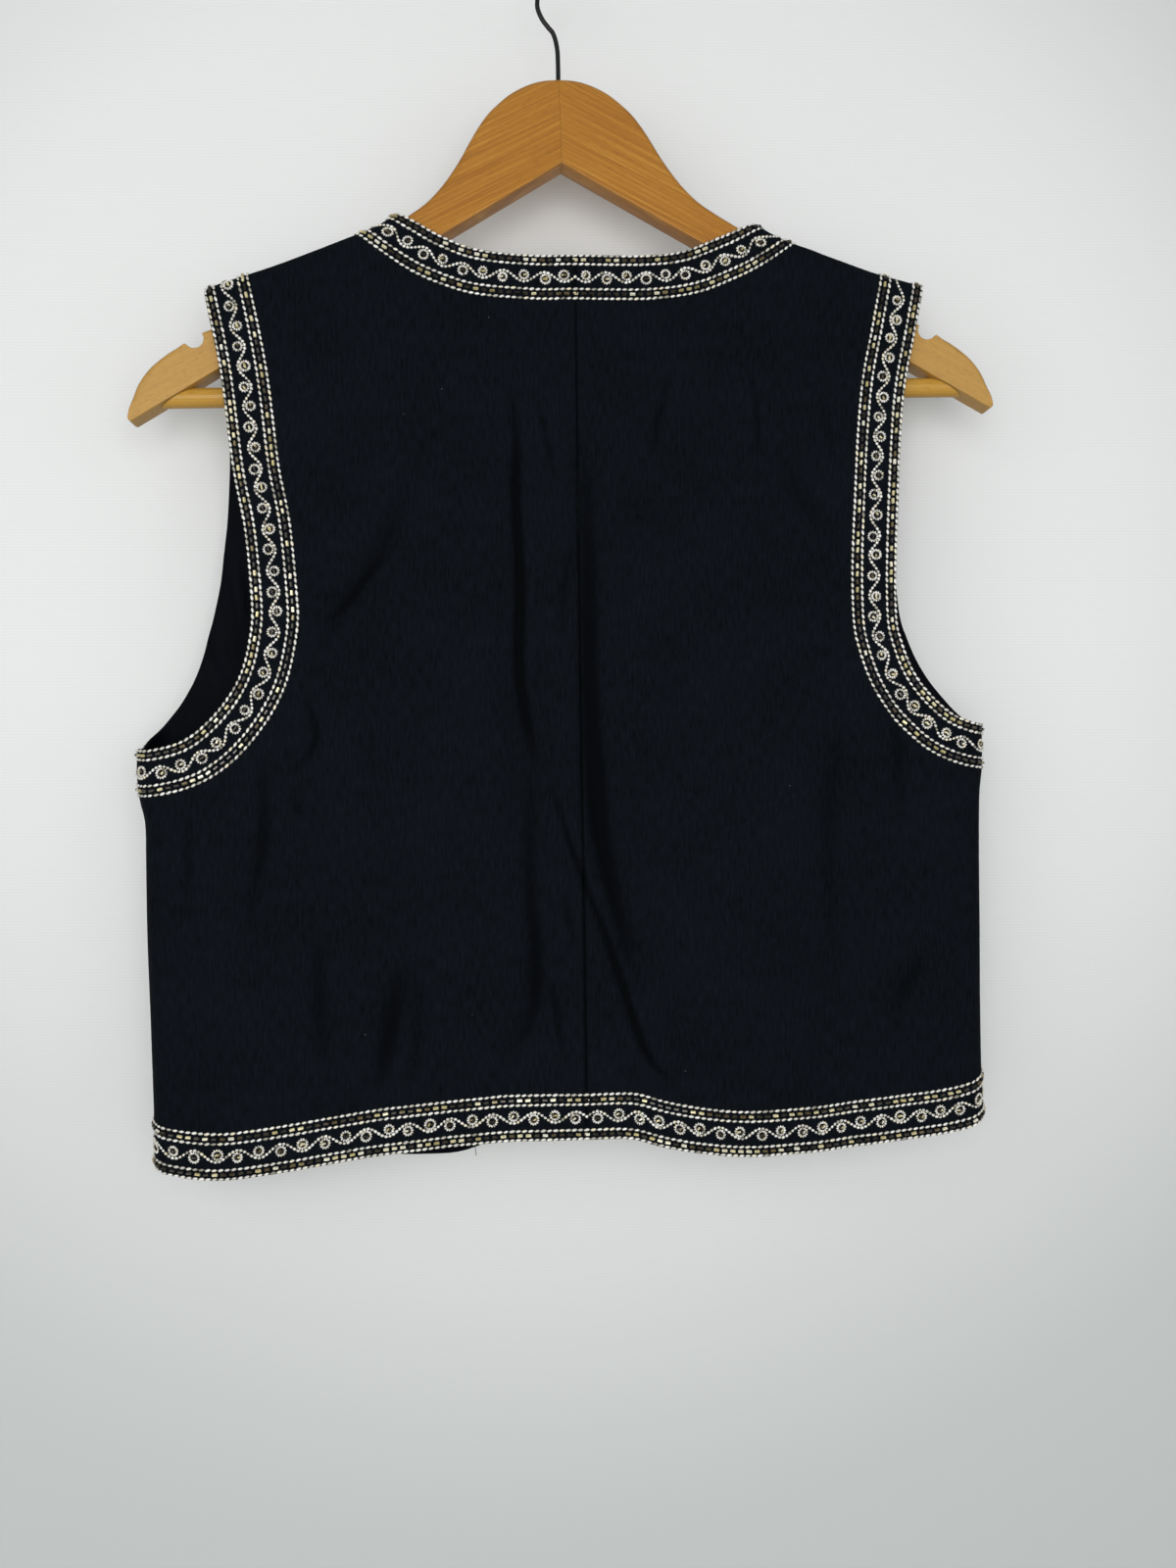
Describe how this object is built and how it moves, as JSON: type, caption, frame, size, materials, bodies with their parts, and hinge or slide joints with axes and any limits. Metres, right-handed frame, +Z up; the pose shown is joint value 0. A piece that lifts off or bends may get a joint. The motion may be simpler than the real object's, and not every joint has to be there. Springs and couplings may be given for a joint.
{
  "type": "beaded vest on a wooden hanger",
  "caption": "Cropped sleeveless vest with beaded bands at neck, armholes and hem, open in front, hanging on a wooden hanger with a trouser bar and wire hook.",
  "frame": {"origin": "inner top of the hanger's hook, where it hangs on a rail", "axes": "+Z up, +X to the right as the vest's back is seen, +Y out of the vest's front"},
  "size_m": [0.4451, 0.052, 0.6172],
  "materials": {
    "cloth": "matt black-navy plain weave",
    "band": "black cloth set with silver thread and bronze beads",
    "arm_wood": "clear-lacquered hardwood",
    "bar_wood": "glossy lacquered dowel",
    "wire": "dark drawn wire"
  },
  "bodies": {
    "root": {"back_left": "cloth", "back_right": "cloth", "front_left": "cloth", "front_right": "cloth", "neck_back_left": "band", "neck_back_right": "band", "neck_front_left": "band", "neck_front_right": "band", "armhole_back_left": "band", "armhole_back_right": "band", "armhole_front_left": "band", "armhole_front_right": "band", "hem_back_left": "band", "hem_back_right": "band", "hem_front_left": "band", "hem_front_right": "band", "hanger_arm_left": "arm_wood", "hanger_arm_right": "arm_wood", "hanger_bar": "bar_wood", "hook": "wire"}
  },
  "joints": []
}
